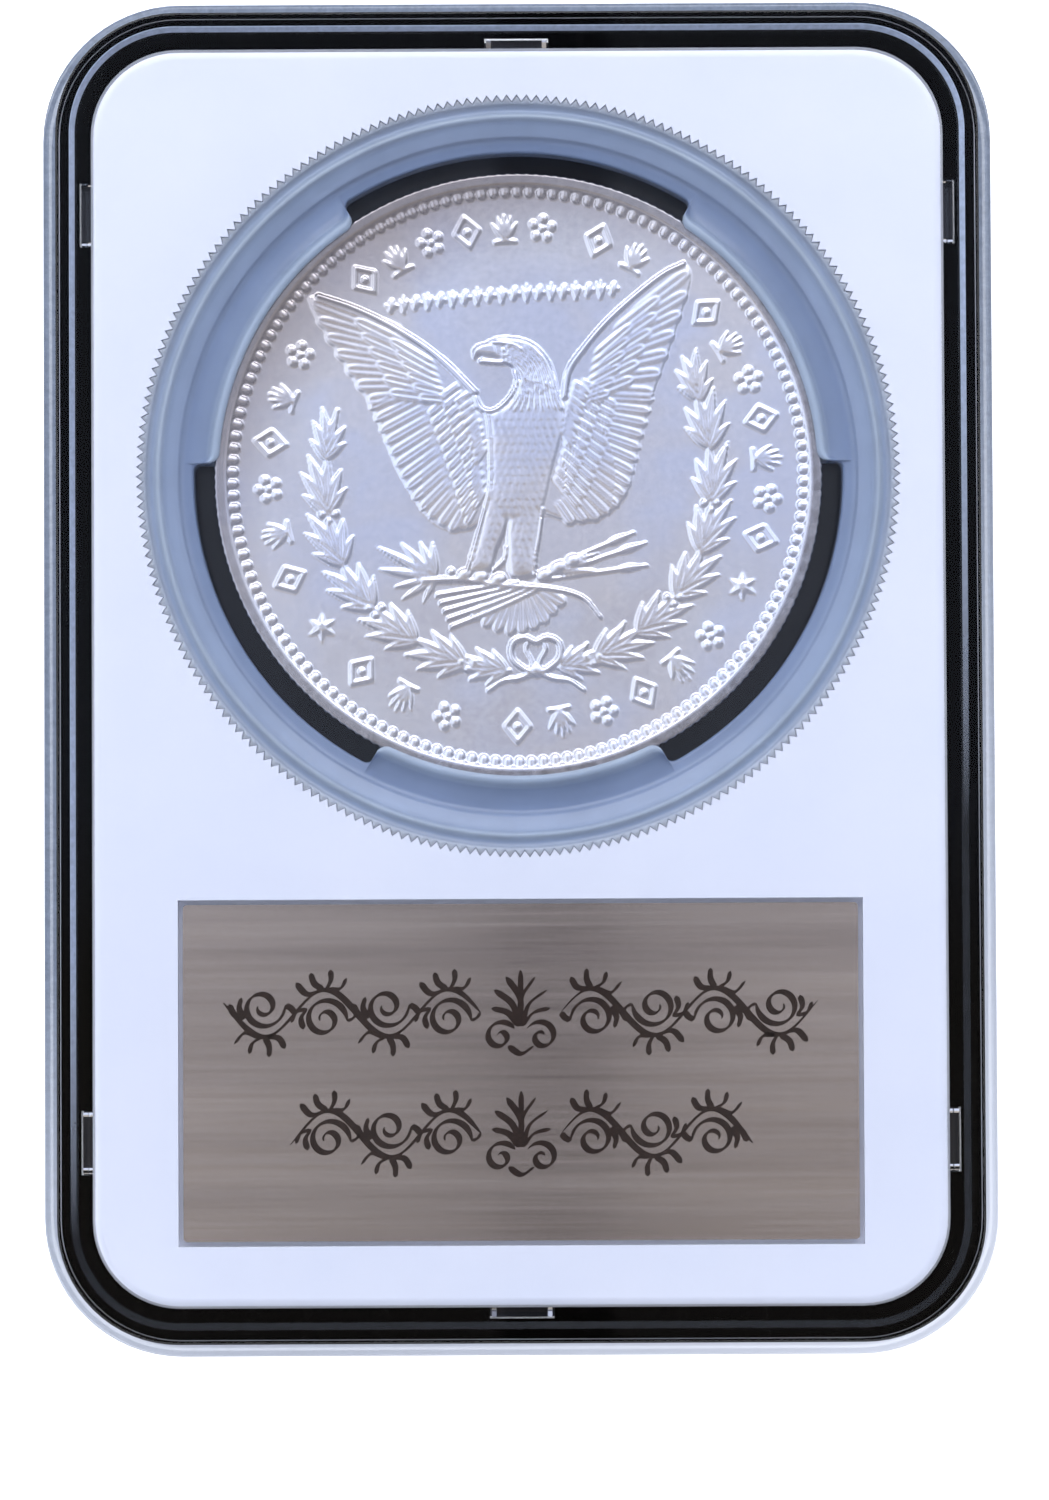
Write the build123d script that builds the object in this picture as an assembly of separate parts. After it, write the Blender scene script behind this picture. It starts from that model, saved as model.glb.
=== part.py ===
from build123d import *
import math
import os

# A two-shell coin slab lying on its obverse face, reverse side up.
# Millimetres; +X to the right, +Y towards the coin end, +Z up through the thickness.

# Slab outline
SLAB_WIDTH = 59.6
SLAB_LENGTH = 84.8
SLAB_THICKNESS = 8.0
CORNER_RADIUS = 8.6

# Heights of the layers, measured up from the obverse face
STACK_STEP_Z = 0.5
CAVITY_FLOOR_Z = 1.4
PARTING_Z = 4.0
CAVITY_ROOF_Z = 5.9
WINDOW_TOP_Z = 7.4

# Shell section, measured inwards from the outline
REVERSE_INSET = 1.1
EDGE_CHAMFER = 0.15
SEAM_CHAMFER = 0.06
RIDGE_TOP_INSET = 2.0
RIDGE_FOOT_INSET = 2.4
STACK_STEP_INSET = 2.5
WALL = 3.2

# Interlock tabs of the reverse shell and their slots in the obverse shell
TAB_WIDTH = 3.8
TAB_INSET = 2.5
TAB_THICKNESS = 0.6
TAB_DEPTH = 1.45
TAB_LEAD_IN = 0.3
TAB_CLEARANCE = 0.1
TAB_SIDE_Y = 29.0

# Insert
INSERT_GAP = 0.1
INSERT_FACE_GAP = 0.05
INSERT_EDGE_RADIUS = 0.5

# Coin
COIN_Y = 12.5
COIN_DIAMETER = 38.1
COIN_THICKNESS = 2.4
COIN_RIM_WIDTH = 0.8
COIN_RIM_HEIGHT = 0.25
COIN_RIM_CHAMFER = 0.1
REED_COUNT = 200
REED_DEPTH = 0.12

# Ring that grips the coin
RING_HEIGHT = 4.2
RING_TIP_RADIUS = 23.8
RING_ROOT_RADIUS = 23.38
RING_TEETH = 240
RING_HOLE_CLEARANCE = 0.04
RING_BORE_RADIUS = 20.3
PRONG_SPAN_DEG = 55
PRONG_CENTRES_DEG = (30, 150, 270)
LIP_RADIUS = 18.75
GROOVE_CLEARANCE = 0.08

# Engraved plaques and the adhesive sheets behind them
PLAQUE_Y = -24.65
PLAQUE_WIDTH = 42.0
PLAQUE_LENGTH = 20.9
PLAQUE_THICKNESS = 0.45
PLAQUE_CORNER_RADIUS = 0.25
ADHESIVE_THICKNESS = 0.15
ADHESIVE_MARGIN = 0.4
RECESS_GAP = 0.3
RECESS_DEPTH = 0.8

# Worked out from the values above
MID_Z = (CAVITY_FLOOR_Z + CAVITY_ROOF_Z) / 2
INSERT_LOW_Z = CAVITY_FLOOR_Z + INSERT_FACE_GAP
INSERT_HIGH_Z = CAVITY_ROOF_Z - INSERT_FACE_GAP
COIN_RADIUS = COIN_DIAMETER / 2
HALF_COIN = COIN_THICKNESS / 2
GROOVE_RADIUS = COIN_RADIUS + GROOVE_CLEARANCE
GROOVE_HALF_HEIGHT = HALF_COIN + GROOVE_CLEARANCE
HALF_RING = RING_HEIGHT / 2
RECESS_FLOOR_Z = INSERT_HIGH_Z - RECESS_DEPTH
RECESS_ROOF_Z = INSERT_LOW_Z + RECESS_DEPTH

# How far a cutting solid runs past the face that it cuts
OVERCUT = 0.5


def plate(inset, low_z, high_z):
    """A plate with the slab's rounded outline, set in from it all round."""
    outline = RectangleRounded(
        SLAB_WIDTH - 2 * inset,
        SLAB_LENGTH - 2 * inset,
        CORNER_RADIUS - inset,
    )
    return Pos(0, 0, low_z) * extrude(outline, high_z - low_z)


def low_edges(solid):
    return solid.edges().group_by(Axis.Z)[0]


def high_edges(solid):
    return solid.edges().group_by(Axis.Z)[-1]


def toothed_plate(tip_radius, root_radius, count, low_z, high_z):
    """A round plate with pointed teeth on its edge."""
    points = []
    for index in range(count):
        tip_angle = 2 * math.pi * index / count
        root_angle = tip_angle + math.pi / count
        points.append((tip_radius * math.cos(tip_angle), tip_radius * math.sin(tip_angle)))
        points.append((root_radius * math.cos(root_angle), root_radius * math.sin(root_angle)))
    outline = make_face(Polyline(*points, close=True))
    return Pos(0, 0, low_z) * extrude(outline, high_z - low_z)


def turned(upper_half, arc=360):
    """A solid turned about Z from the upper half of its section, mirrored below."""
    lower_half = [(radius, -height) for radius, height in reversed(upper_half)]
    section = make_face(Polyline(*upper_half, *lower_half, close=True))
    return revolve(Plane.XZ * section, Axis.Z, arc)


def at_coin(solid):
    """Moves a solid from the origin to the coin's centre, half-way up the cavity."""
    return Pos(0, COIN_Y, MID_Z) * solid


def tab_places():
    """Places on the outline where a tab stands: a point, and the turn that faces it inwards."""
    half_width = SLAB_WIDTH / 2
    half_length = SLAB_LENGTH / 2
    places = [(0, half_length, 0), (0, -half_length, 180)]
    for y in (TAB_SIDE_Y, -TAB_SIDE_Y):
        places.append((half_width, y, -90))
        places.append((-half_width, y, 90))
    return places


def at_tab(x, y, turn):
    return Pos(x, y, 0) * Rot(0, 0, turn)


def tab():
    """One tab at the middle of a +Y edge, hanging below the parting plane."""
    root_z = PARTING_Z + TAB_THICKNESS
    tip_z = PARTING_Z - TAB_DEPTH
    blade = extrude(Rectangle(TAB_WIDTH, TAB_THICKNESS), root_z - tip_z)
    blade = chamfer(blade.edges().filter_by(Axis.Y).group_by(Axis.Z)[0], TAB_LEAD_IN)
    return Pos(0, -TAB_INSET - TAB_THICKNESS / 2, tip_z) * blade


def slot():
    """The slot that takes a tab, open to the cavity and to the parting plane."""
    outer_inset = TAB_INSET - TAB_CLEARANCE
    floor_z = PARTING_Z - TAB_DEPTH - TAB_CLEARANCE
    depth = WALL - outer_inset + INSERT_GAP
    block = Box(
        TAB_WIDTH + 2 * TAB_CLEARANCE,
        depth,
        PARTING_Z - floor_z,
        align=(Align.CENTER, Align.MAX, Align.MIN),
    )
    return Pos(0, -outer_inset, floor_z) * block


def front_shell():
    """Obverse half: a clear tray whose stepped face nests in the ridge of another slab."""
    rim = plate(0, STACK_STEP_Z, PARTING_Z)
    rim = chamfer(low_edges(rim), EDGE_CHAMFER)
    rim = chamfer(high_edges(rim), SEAM_CHAMFER)
    body = rim + plate(STACK_STEP_INSET, 0, PARTING_Z)
    body -= plate(WALL, CAVITY_FLOOR_Z, PARTING_Z)
    for place in tab_places():
        body -= at_tab(*place) * slot()
    return body


def window_recess():
    """The space inside the stacking ridge, wider at its mouth than at the window."""
    outline = RectangleRounded(
        SLAB_WIDTH - 2 * RIDGE_FOOT_INSET,
        SLAB_LENGTH - 2 * RIDGE_FOOT_INSET,
        CORNER_RADIUS - RIDGE_FOOT_INSET,
    )
    ridge_height = SLAB_THICKNESS - WINDOW_TOP_Z
    slope_deg = math.degrees(math.atan2(RIDGE_FOOT_INSET - RIDGE_TOP_INSET, ridge_height))
    recess = extrude(outline, ridge_height + OVERCUT, taper=-slope_deg)
    return Pos(0, 0, WINDOW_TOP_Z) * recess


def reverse_shell():
    """Reverse half: a tray set in from the obverse half's outline, ridge round its window, six tabs."""
    body = plate(REVERSE_INSET, PARTING_Z, SLAB_THICKNESS)
    body = chamfer(high_edges(body), EDGE_CHAMFER)
    body = chamfer(low_edges(body), SEAM_CHAMFER)
    body -= window_recess()
    body -= plate(WALL, PARTING_Z, CAVITY_ROOF_Z)
    for place in tab_places():
        body += at_tab(*place) * tab()
    return body


def insert():
    """White core: serrated hole for the ring, and a plaque recess on each side."""
    body = plate(WALL + INSERT_GAP, INSERT_LOW_Z, INSERT_HIGH_Z)
    body = fillet(low_edges(body) + high_edges(body), INSERT_EDGE_RADIUS)
    hole = toothed_plate(
        RING_TIP_RADIUS + RING_HOLE_CLEARANCE,
        RING_ROOT_RADIUS + RING_HOLE_CLEARANCE,
        RING_TEETH,
        INSERT_LOW_Z - OVERCUT,
        INSERT_HIGH_Z + OVERCUT,
    )
    body -= Pos(0, COIN_Y, 0) * hole
    recess = Box(PLAQUE_WIDTH + 2 * RECESS_GAP, PLAQUE_LENGTH + 2 * RECESS_GAP, 2 * RECESS_DEPTH)
    body -= Pos(0, PLAQUE_Y, INSERT_HIGH_Z) * recess
    body -= Pos(0, PLAQUE_Y, INSERT_LOW_Z) * recess
    return body


def coin_ring():
    """Translucent ring: stepped faces, toothed edge, and three prongs that grip the coin."""
    blank = turned([
        (RING_BORE_RADIUS, 0.95),
        (20.45, 1.05),
        (21.1, 1.2),
        (21.3, 1.5),
        (22.2, 1.85),
        (22.35, HALF_RING),
        (22.6, HALF_RING),
        (22.8, 1.85),
        (23.15, 1.85),
        (23.3, 2.0),
        (RING_TIP_RADIUS + OVERCUT, 2.0),
    ])
    teeth = toothed_plate(RING_TIP_RADIUS, RING_ROOT_RADIUS, RING_TEETH, -HALF_RING, HALF_RING)
    ring = blank & teeth
    prong = turned([
        (GROOVE_RADIUS, GROOVE_HALF_HEIGHT),
        (LIP_RADIUS, GROOVE_HALF_HEIGHT),
        (LIP_RADIUS, 1.5),
        (18.9, 1.7),
        (19.2, 1.7),
        (19.45, 1.4),
        (19.8, 1.25),
        (20.9, 1.15),
    ], PRONG_SPAN_DEG)
    for centre in PRONG_CENTRES_DEG:
        ring += Rot(0, 0, centre - PRONG_SPAN_DEG / 2) * prong
    return at_coin(ring)


def coin():
    """Coin blank: a raised rim round a flat field on both faces, and a reeded edge."""
    field_height = HALF_COIN - COIN_RIM_HEIGHT
    field_edge = COIN_RADIUS - COIN_RIM_WIDTH
    chamfer_reach = COIN_RIM_CHAMFER / 2
    blank = turned([
        (0.0, field_height),
        (field_edge - COIN_RIM_HEIGHT, field_height),
        (field_edge, HALF_COIN),
        (COIN_RADIUS - COIN_RIM_CHAMFER, HALF_COIN),
        (COIN_RADIUS + chamfer_reach, HALF_COIN - COIN_RIM_CHAMFER - chamfer_reach),
    ])
    reeds = toothed_plate(
        COIN_RADIUS, COIN_RADIUS - REED_DEPTH, REED_COUNT, -HALF_COIN - OVERCUT, HALF_COIN + OVERCUT
    )
    return at_coin(blank & reeds)


def plaque(face_z):
    outline = RectangleRounded(PLAQUE_WIDTH, PLAQUE_LENGTH, PLAQUE_CORNER_RADIUS)
    return Pos(0, PLAQUE_Y, face_z) * extrude(outline, PLAQUE_THICKNESS)


def adhesive(face_z):
    outline = Rectangle(PLAQUE_WIDTH - 2 * ADHESIVE_MARGIN, PLAQUE_LENGTH - 2 * ADHESIVE_MARGIN)
    return Pos(0, PLAQUE_Y, face_z) * extrude(outline, ADHESIVE_THICKNESS)


nodes = {
    "front_shell": front_shell(),
    "insert": insert(),
    "coin_ring": coin_ring(),
    "coin": coin(),
    "reverse_plaque_adhesive": adhesive(RECESS_FLOOR_Z),
    "reverse_plaque": plaque(RECESS_FLOOR_Z + ADHESIVE_THICKNESS),
    "front_plaque_adhesive": adhesive(RECESS_ROOF_Z - ADHESIVE_THICKNESS),
    "front_plaque": plaque(RECESS_ROOF_Z - ADHESIVE_THICKNESS - PLAQUE_THICKNESS),
    "reverse_shell": reverse_shell(),
}

os.makedirs("parts", exist_ok=True)
for name, solid in nodes.items():
    export_step(solid, f"parts/{name}.step")
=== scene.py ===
import math

import bpy
import numpy as np
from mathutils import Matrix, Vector


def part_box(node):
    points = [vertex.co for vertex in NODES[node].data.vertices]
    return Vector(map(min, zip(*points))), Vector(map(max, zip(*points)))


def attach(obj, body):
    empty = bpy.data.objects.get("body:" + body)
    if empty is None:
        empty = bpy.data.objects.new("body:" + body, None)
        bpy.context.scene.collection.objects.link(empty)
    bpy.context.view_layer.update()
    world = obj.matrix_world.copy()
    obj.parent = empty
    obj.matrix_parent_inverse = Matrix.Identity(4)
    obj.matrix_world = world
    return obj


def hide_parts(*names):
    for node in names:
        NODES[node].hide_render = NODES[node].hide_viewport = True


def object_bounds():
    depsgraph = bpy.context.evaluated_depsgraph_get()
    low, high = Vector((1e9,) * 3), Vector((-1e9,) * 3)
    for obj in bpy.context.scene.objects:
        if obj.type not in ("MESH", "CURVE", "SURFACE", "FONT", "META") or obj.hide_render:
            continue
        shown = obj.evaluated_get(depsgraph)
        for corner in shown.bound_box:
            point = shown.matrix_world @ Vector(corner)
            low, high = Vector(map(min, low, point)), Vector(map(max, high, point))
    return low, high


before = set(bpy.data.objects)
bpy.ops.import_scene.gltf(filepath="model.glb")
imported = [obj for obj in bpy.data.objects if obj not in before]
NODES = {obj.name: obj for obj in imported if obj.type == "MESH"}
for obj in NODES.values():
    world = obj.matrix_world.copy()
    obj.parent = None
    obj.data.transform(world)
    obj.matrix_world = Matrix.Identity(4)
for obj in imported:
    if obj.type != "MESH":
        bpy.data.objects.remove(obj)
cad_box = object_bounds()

MM = 0.001

# Places and sizes read from the frame, in millimetres
COIN_LOW, COIN_HIGH = (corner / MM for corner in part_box("coin"))
COIN_CENTRE = (COIN_LOW + COIN_HIGH) / 2
COIN_RADIUS = (COIN_HIGH.x - COIN_LOW.x) / 2
HALF_COIN = (COIN_HIGH.z - COIN_LOW.z) / 2
RING_LOW, RING_HIGH = (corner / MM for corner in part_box("coin_ring"))
RING_TIP_RADIUS = (RING_HIGH.x - RING_LOW.x) / 2
HALF_RING = (RING_HIGH.z - RING_LOW.z) / 2
SLAB_LOW, SLAB_HIGH = (corner / MM for corner in cad_box)
LEDGE_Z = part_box("front_shell")[1].z / MM
LEDGE_WIDTH = (SLAB_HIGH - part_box("reverse_shell")[1] / MM).x

# The slab's corner radius, and its frosted bands, whose colour is painted light and shade: the ridge's slope
# as two insets from the slab's outline, and how far each band reaches down from the top of its own face
SLAB_CORNER = 8.6
RIDGE_SLOPE = (1.96, 2.28)
RIDGE_FROST_DEPTH = 0.55
LEDGE_FROST_DEPTH = 0.15

# Coin
FIELD_DROP = 0.3
RIM_INNER_RADIUS = 18.25
BEAD_RADIUS = 17.85
BEAD_COUNT = 150
BEAD_HEIGHT = 0.21
DESIGN_LIMIT = 17.4
LEGEND_RADIUS = 15.65
REED_COUNT = 200
REED_DEPTH = 0.12
EDGE_ROUND = 0.16
COIN_SEGMENTS = 1200

# Ring
RING_BORE = 20.3
RING_TEETH = 240
TOOTH_DEPTH = 0.42
TOOTH_SHAPE = (0.97, 0.75, 0.5, 0.25, 0.0, 0.25, 0.5, 0.75)
PRONG_REACH = 18.72
PRONG_ARC_RADIUS = 18.75
GROOVE_CLEARANCE = 0.08
PRONG_CENTRES_DEG = (30, 150, 270)
PRONG_HALF_SPAN_DEG = 27.5
PRONG_CORNER = 0.75
PRONG_FILLET = 0.45


# ---------------------------------------------------------------- shared helpers

def smooth(value, low, high):
    """Rises smoothly from 0 at low to 1 at high."""
    t = np.clip((value - low) / (high - low), 0, 1)
    return t * t * (3 - 2 * t)


def curve_through(points, steps=8, closed=False):
    """Points on a smooth curve through the given ones."""
    p = np.array(points, float)
    if closed:
        p = np.vstack([p[-1], p, p[:2]])
    else:
        p = np.vstack([2 * p[0] - p[1], p, 2 * p[-1] - p[-2]])
    t = np.linspace(0, 1, steps, endpoint=False)[:, None]
    parts = []
    for a, b, c, d in zip(p[:-3], p[1:-2], p[2:-1], p[3:]):
        parts.append(0.5 * (2 * b + (c - a) * t + (2 * a - 5 * b + 4 * c - d) * t ** 2
                            + (3 * b - a - 3 * c + d) * t ** 3))
    if not closed:
        parts.append(p[-2][None])
    return np.vstack(parts)


def spaced(points, count):
    """count points at even distances along a polyline."""
    p = np.array(points, float)
    run = np.concatenate([[0], np.cumsum(np.hypot(*np.diff(p, axis=0).T))])
    at = np.linspace(0, run[-1], count)
    return np.column_stack([np.interp(at, run, p[:, 0]), np.interp(at, run, p[:, 1])])


def turned(points, degrees):
    """Points turned about the origin."""
    a = math.radians(degrees)
    p = np.array(points, float)
    return np.column_stack([p[:, 0] * math.cos(a) - p[:, 1] * math.sin(a),
                            p[:, 0] * math.sin(a) + p[:, 1] * math.cos(a)])


def tube_faces(sections, rows, closed):
    """Faces of a tube whose sections are closed loops of rows points; closed joins its two ends."""
    faces = []
    for section in range(sections if closed else sections - 1):
        a = section * rows
        b = (section + 1) % sections * rows
        faces += [(a + k, a + (k + 1) % rows, b + (k + 1) % rows, b + k) for k in range(rows)]
    return faces


def mesh_object(name, vertices, faces, body, material, smooth_faces=True):
    """A mesh piece, given in millimetres in the row frame, that rides on a body."""
    mesh = bpy.data.meshes.new(name)
    mesh.from_pydata((np.asarray(vertices, float) * MM).tolist(), [], faces)
    mesh.validate()
    mesh.update()
    if smooth_faces:
        mesh.shade_smooth()
    else:
        mesh.shade_flat()
    piece = bpy.data.objects.new(name, mesh)
    bpy.context.scene.collection.objects.link(piece)
    mesh.materials.append(material)
    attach(piece, body)
    return piece


# ---------------------------------------------------------------- relief on the coin

class Relief:
    """Heights of a struck face above its field, in millimetres, at a set of points."""

    def __init__(self, x, y):
        self.x = x
        self.y = y
        self.h = np.zeros_like(x)

    def near(self, points, reach):
        """Numbers of the places within reach of the box round some points."""
        p = np.array(points, float)
        low = p.min(0) - reach
        high = p.max(0) + reach
        return np.nonzero((self.x > low[0]) & (self.x < high[0]) & (self.y > low[1]) & (self.y < high[1]))[0]

    def lift(self, at, height):
        """Raises the places to a height where they lie lower."""
        self.h[at] = np.maximum(self.h[at], height)

    def distance(self, at, points, closed):
        """Of the places numbered at: distance to a polyline, which lie inside it, and how far along."""
        x, y = self.x[at], self.y[at]
        p = np.array(points, float)
        q = np.roll(p, -1, axis=0) if closed else p[1:]
        best = np.full(len(at), 1e9)
        inside = np.zeros(len(at), bool)
        along = np.zeros(len(at))
        for i, ((ax, ay), (bx, by)) in enumerate(zip(p, q)):
            dx, dy = bx - ax, by - ay
            t = np.clip(((x - ax) * dx + (y - ay) * dy) / (dx * dx + dy * dy + 1e-12), 0, 1)
            d = np.hypot(x - ax - t * dx, y - ay - t * dy)
            along = np.where(d < best, (i + t) / len(q), along)
            best = np.minimum(best, d)
            crosses = ((ay > y) != (by > y)) & (x < dx * (y - ay) / (dy + 1e-12) + ax)
            inside ^= crosses
        return best, inside, along

    def fill(self, outline, height, edge, dome=0.0):
        """A raised shape with rounded edges; dome adds height towards its middle."""
        points = curve_through(outline, 5, closed=True)
        at = self.near(points, 0)
        d, inside, _ = self.distance(at, points, True)
        t = np.clip(d / edge, 0, 1)
        rise = height * np.sqrt(1 - (1 - t) ** 2) + dome * (1 - np.exp(-d / (2 * edge)))
        self.lift(at, np.where(inside, rise, 0))

    def facets(self, outline, height, edge):
        """A raised shape with flat sloping faces, such as a cut star."""
        at = self.near(outline, 0)
        d, inside, _ = self.distance(at, outline, True)
        self.lift(at, np.where(inside, height * np.clip(d / edge, 0, 1), 0))

    def stroke(self, points, width, height, taper=0.0, steps=8):
        """A raised line; taper is how much thinner it gets towards its far end."""
        line = curve_through(points, steps)
        at = self.near(line, width)
        d, _, along = self.distance(at, line, False)
        half = width / 2 * (1 - taper * along)
        self.lift(at, height * np.sqrt(np.clip(1 - (d / half) ** 2, 0, 1)))

    def blade(self, base, tip, width, height, round_tip=False, bend=0.0, vein=0.25):
        """A leaf, or with round_tip a feather, from base to tip."""
        base, tip = np.array(base, float), np.array(tip, float)
        length = np.hypot(*(tip - base))
        ax, ay = (tip - base) / length
        at = self.near([base, tip], width + abs(bend))
        s = ((self.x[at] - base[0]) * ax + (self.y[at] - base[1]) * ay) / length
        t = (self.y[at] - base[1]) * ax - (self.x[at] - base[0]) * ay
        s = np.clip(s, 0, 1)
        t = t - bend * 4 * s * (1 - s)
        if round_tip:
            half = width / 2 * np.sqrt(np.clip(1 - (np.clip(s - 0.8, 0, 1) / 0.2) ** 2, 1e-6, 1))
        else:
            half = width / 2 * np.clip(np.sin(math.pi * s ** 0.75), 1e-6, 1)
        u = np.abs(t) / (half + 1e-6)
        body = np.clip(1 - u ** 3, 0, 1)
        if round_tip:
            body = body * (0.35 + 0.45 * smooth(s, 0, 0.3) + 0.2 * s)
        groove = 1 - vein * np.exp(-(t / (0.1 * width)) ** 2)
        inside = (u < 1) & (s > 0) & (s < 1)
        self.lift(at, np.where(inside, height * body * groove, 0))

    def pellet(self, centre, radius, height, stretch=1.0, turn=0.0):
        """A round or oval grain."""
        at = self.near([centre], radius * max(stretch, 1))
        a = math.radians(turn)
        dx, dy = self.x[at] - centre[0], self.y[at] - centre[1]
        u = (dx * math.cos(a) + dy * math.sin(a)) / stretch
        v = dy * math.cos(a) - dx * math.sin(a)
        self.lift(at, height * np.sqrt(np.clip(1 - (u * u + v * v) / radius ** 2, 0, 1)))

    def feathers(self, bases, tips, count, width, height, vein=0.25):
        """A row of overlapping feathers, from one line to another."""
        for base, tip in zip(spaced(bases, count), spaced(tips, count)):
            self.blade(base, tip, width, height, round_tip=True, vein=vein)


def wing(relief, edge, rest, rows, edge_width):
    """A spread wing: its whole outline, rows of overlapping feathers and a raised front edge."""
    relief.fill(edge + rest, 0.08, 0.3)
    for row in rows:
        relief.feathers(*row)
    relief.stroke(edge, edge_width, 0.24, taper=0.35)


def left_wing(relief):
    edge = [(-2.75, 5.3), (-4.4, 7.0), (-6.0, 8.3), (-8.2, 9.65), (-10.3, 10.65), (-12.5, 11.4)]
    rest = [(-13.1, 11.2), (-12.7, 10.1), (-11.8, 8.6), (-11.0, 7.3), (-10.2, 5.9),
            (-9.2, 4.4), (-8.2, 1.9), (-7.5, 0.2), (-6.6, -1.3), (-5.8, -2.4),
            (-4.4, -3.3), (-2.6, -3.1), (-1.9, -1.0), (-1.9, 3.4)]
    rows = (
        ([(-7.4, 9.0), (-6.9, 7.4), (-6.2, 5.2)],
         [(-12.9, 11.05), (-12.6, 9.95), (-11.9, 8.6), (-11.1, 7.3), (-10.2, 5.9), (-9.4, 4.8)],
         7, 1.25, 0.14),
        ([(-5.6, 6.0), (-4.8, 3.4), (-4.1, 1.0), (-3.8, -0.6), (-3.3, -1.8)],
         [(-9.3, 4.3), (-8.2, 1.9), (-7.5, 0.3), (-6.7, -1.2), (-5.9, -2.4), (-4.2, -3.4)],
         13, 0.84, 0.14),
        ([(-6.4, 8.0), (-5.9, 6.6), (-5.1, 4.9)],
         [(-10.2, 9.85), (-9.5, 8.4), (-8.8, 7.0), (-8.0, 5.3)], 6, 1.15, 0.17),
        ([(-4.9, 6.75), (-4.7, 5.9), (-4.2, 4.8)],
         [(-8.0, 8.6), (-7.4, 7.4), (-6.8, 6.2), (-6.2, 5.0)], 6, 0.95, 0.195),
        ([(-3.9, 5.3), (-3.2, 2.9), (-2.7, 0.6), (-2.5, -1.6)],
         [(-5.6, 3.9), (-4.6, 1.2), (-3.9, -1.0), (-3.3, -3.0)], 13, 0.62, 0.17, 0.35),
        ([(-3.4, 6.0), (-2.7, 3.6), (-2.2, 1.4), (-2.0, -0.6)],
         [(-4.9, 4.9), (-3.9, 2.2), (-3.2, 0.1), (-2.8, -2.0)], 13, 0.58, 0.195, 0.35),
        ([(-2.8, 5.4), (-2.2, 3.8), (-1.95, 2.0)],
         [(-3.9, 4.6), (-3.2, 2.6), (-2.7, 0.8)], 9, 0.5, 0.215, 0.35))
    wing(relief, edge, rest, rows, 0.5)


def right_wing(relief):
    edge = [(2.9, 5.0), (3.2, 6.6), (4.1, 7.95), (5.5, 9.6), (7.3, 11.25), (9.1, 12.65), (10.4, 13.3)]
    rest = [(10.9, 12.6), (10.6, 11.2), (10.0, 9.4), (9.5, 7.9), (9.0, 6.5), (8.4, 4.9),
            (7.8, 2.7), (7.4, 1.1), (7.0, -0.7), (6.4, -1.7), (5.3, -2.6), (4.0, -2.9),
            (2.6, -2.7), (1.3, -1.8), (1.6, 1.5), (2.3, 3.6)]
    rows = (
        ([(6.5, 9.6), (5.9, 7.6), (5.1, 5.4)],
         [(10.75, 12.8), (10.6, 11.2), (10.0, 9.5), (9.5, 7.9), (9.0, 6.6), (8.5, 5.2)],
         7, 1.2, 0.14),
        ([(5.0, 5.0), (4.4, 3.1), (3.8, 1.2), (3.1, -0.3), (2.2, -1.2)],
         [(8.5, 4.8), (7.9, 2.7), (7.5, 1.1), (7.0, -0.7), (6.3, -1.9), (5.2, -2.75), (3.4, -3.0)],
         14, 0.8, 0.14),
        ([(5.7, 8.7), (5.1, 6.8), (4.5, 5.0)],
         [(8.9, 11.2), (8.6, 9.7), (7.9, 8.1), (7.2, 6.1)], 6, 1.1, 0.17),
        ([(4.6, 7.3), (4.3, 6.0), (3.9, 4.7)],
         [(7.2, 9.5), (6.8, 8.0), (6.3, 6.6), (5.7, 5.2)], 6, 0.9, 0.195),
        ([(4.2, 5.4), (3.7, 3.2), (3.1, 1.3), (2.5, -0.3)],
         [(6.2, 4.4), (5.6, 2.0), (4.8, -0.1), (3.8, -1.9)], 12, 0.66, 0.17, 0.35),
        ([(3.7, 6.1), (3.1, 4.0), (2.6, 2.0), (2.1, 0.2)],
         [(5.5, 5.2), (4.7, 2.8), (4.0, 0.8), (3.2, -1.1)], 12, 0.6, 0.195, 0.35),
        ([(3.3, 6.0), (2.8, 4.6), (2.5, 3.2)],
         [(4.5, 5.2), (3.9, 3.4), (3.4, 1.9)], 8, 0.52, 0.215, 0.35))
    wing(relief, edge, rest, rows, 0.45)


def scales(x, y, width, length):
    """A pattern of small overlapping feather tips that point down, from 0 to 1."""
    v = y / length
    best = np.zeros_like(x)
    for step in (0, 1):
        row = np.floor(v) - step
        u = x / width + 0.5 * np.mod(row, 2) + 0.17 * np.sin(5 * row)
        across = np.abs(np.mod(u, 1) - 0.5)
        s = (v - row) / 2
        half = 0.5 * np.sqrt(np.clip(1 - (1 - np.minimum(s / 0.3, 1)) ** 2, 1e-6, 1))
        lobe = (1 - 0.6 * s) * np.clip(1 - (across / half) ** 4, 0, 1)
        best = np.maximum(best, lobe)
    return best


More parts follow.
